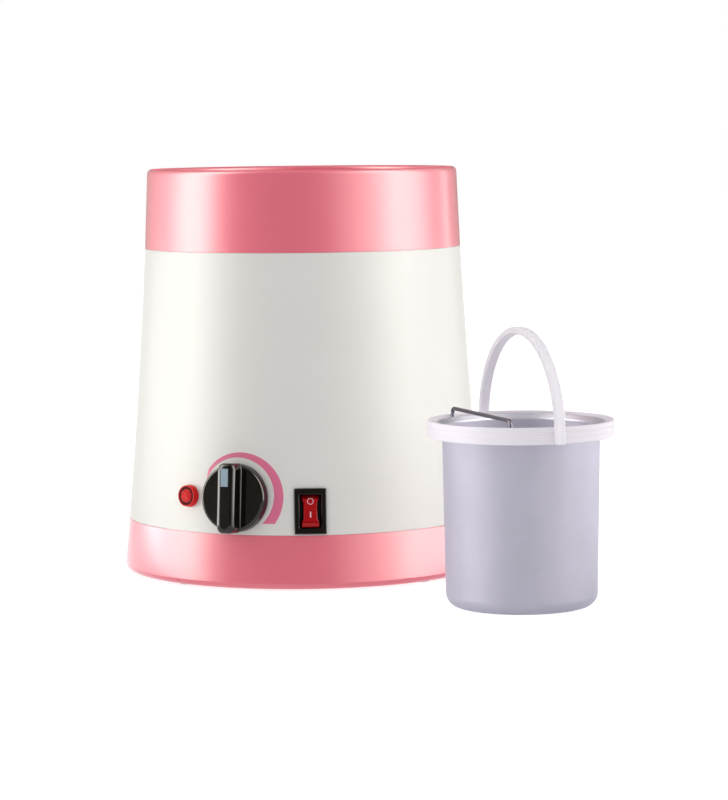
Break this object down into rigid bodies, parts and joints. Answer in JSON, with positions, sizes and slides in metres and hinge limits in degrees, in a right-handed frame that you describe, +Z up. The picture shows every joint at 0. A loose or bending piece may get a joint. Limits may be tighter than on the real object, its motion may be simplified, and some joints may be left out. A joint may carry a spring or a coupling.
{
  "type": "wax heater with bucket",
  "caption": "Round flared wax heater with a thermostat knob, pilot lamp and rocker switch, and a lift-out metal wax bucket with a swinging bail handle and a scraper bar.",
  "frame": {"origin": "on the table, under the middle of the heater", "axes": "+Z up; -Y is the front, with the knob, lamp and switch; +X is the viewer's right, where the bucket stands"},
  "size_m": [0.3054, 0.3503, 0.26],
  "materials": {
    "pink_shell": "glossy moulded pink, slightly translucent",
    "white_shell": "glossy moulded white",
    "plate": "matt",
    "feet": "matt",
    "steel_parts": "plain steel",
    "well_metal": "drawn aluminium, satin",
    "mica_band": "mica board, matt",
    "insulation": "mineral wool",
    "copper_parts": "copper, satin",
    "cream_plastic": "matt",
    "brass_parts": "plain",
    "black_gloss": "glossy black moulding",
    "pointer": "pale grey-blue inlay",
    "lamp_red": "translucent red",
    "rocker_red": "translucent red",
    "lead_cover": "sleeved lead",
    "bucket_metal": "spun aluminium, matt",
    "bucket_plastic": "white heat-proof moulding, satin",
    "scraper_steel": "bright wire"
  },
  "bodies": {
    "heater": {"base_shell": "pink_shell", "top_collar": "pink_shell", "body_shell": "white_shell", "bottom_plate": "plate", "foot_1": "feet", "foot_2": "feet", "foot_3": "feet", "foot_4": "feet", "tie_rod_1": "steel_parts", "tie_rod_2": "steel_parts", "tie_rod_3": "steel_parts", "inner_well": "well_metal", "well_retaining_ring": "steel_parts", "heater_band": "mica_band", "band_bolt": "steel_parts", "insulation_sleeve": "insulation", "sensor_bulb": "copper_parts", "capillary": "copper_parts", "thermal_cutout": "steel_parts", "sensor_strap": "steel_parts", "thermostat_body": "cream_plastic", "thermostat_nut": "brass_parts", "thermostat_tab_1": "brass_parts", "thermostat_tab_2": "brass_parts", "lamp_lens": "lamp_red", "lamp_body": "cream_plastic", "lamp_nut": "black_gloss", "switch_housing": "black_gloss", "switch_tab_1": "brass_parts", "switch_tab_2": "brass_parts", "inlet_housing": "black_gloss", "inlet_pin_live": "brass_parts", "inlet_pin_neutral": "brass_parts", "inlet_pin_earth": "brass_parts", "terminal_block": "cream_plastic", "lead_live": "lead_cover", "lead_neutral": "lead_cover", "lead_earth": "lead_cover", "lead_switch_in": "lead_cover", "lead_switch_out": "lead_cover", "lead_thermostat": "lead_cover", "lead_cutout": "lead_cover", "lead_band": "lead_cover", "lead_lamp": "lead_cover"},
    "knob": {"knob": "black_gloss", "knob_pointer": "pointer", "thermostat_shaft": "brass_parts"},
    "rocker": {"rocker": "rocker_red"},
    "bucket": {"bucket_pot": "bucket_metal", "bucket_ring": "bucket_plastic"},
    "handle": {"bucket_handle": "bucket_plastic"},
    "scraper": {"scraper_bar": "scraper_steel"}
  },
  "joints": [
    {"name": "knob_turn", "type": "hinge", "parent": "heater", "child": "knob", "pos_m": [-0.04081, -0.10522, 0.0579], "axis": [0.3602, 0.9287, -0.0883], "range_deg": [-80, 120]},
    {"name": "rocker_tilt", "type": "hinge", "parent": "heater", "child": "rocker", "pos_m": [0.00489, -0.11206, 0.04987], "axis": [0.999, 0.0436, 0], "range_deg": [0, 19]},
    {"name": "bucket_lift", "type": "slide", "parent": "heater", "child": "bucket", "axis": [0, 0, 1], "range_m": [0, 0.3]},
    {"name": "handle_swing", "type": "hinge", "parent": "bucket", "child": "handle", "pos_m": [0.132, -0.175, 0.1045], "axis": [0.342, -0.9397, 0], "range_deg": [-115, 115]},
    {"name": "scraper_lift", "type": "slide", "parent": "bucket", "child": "scraper", "axis": [0, 0, 1], "range_m": [0, 0.03]}
  ]
}
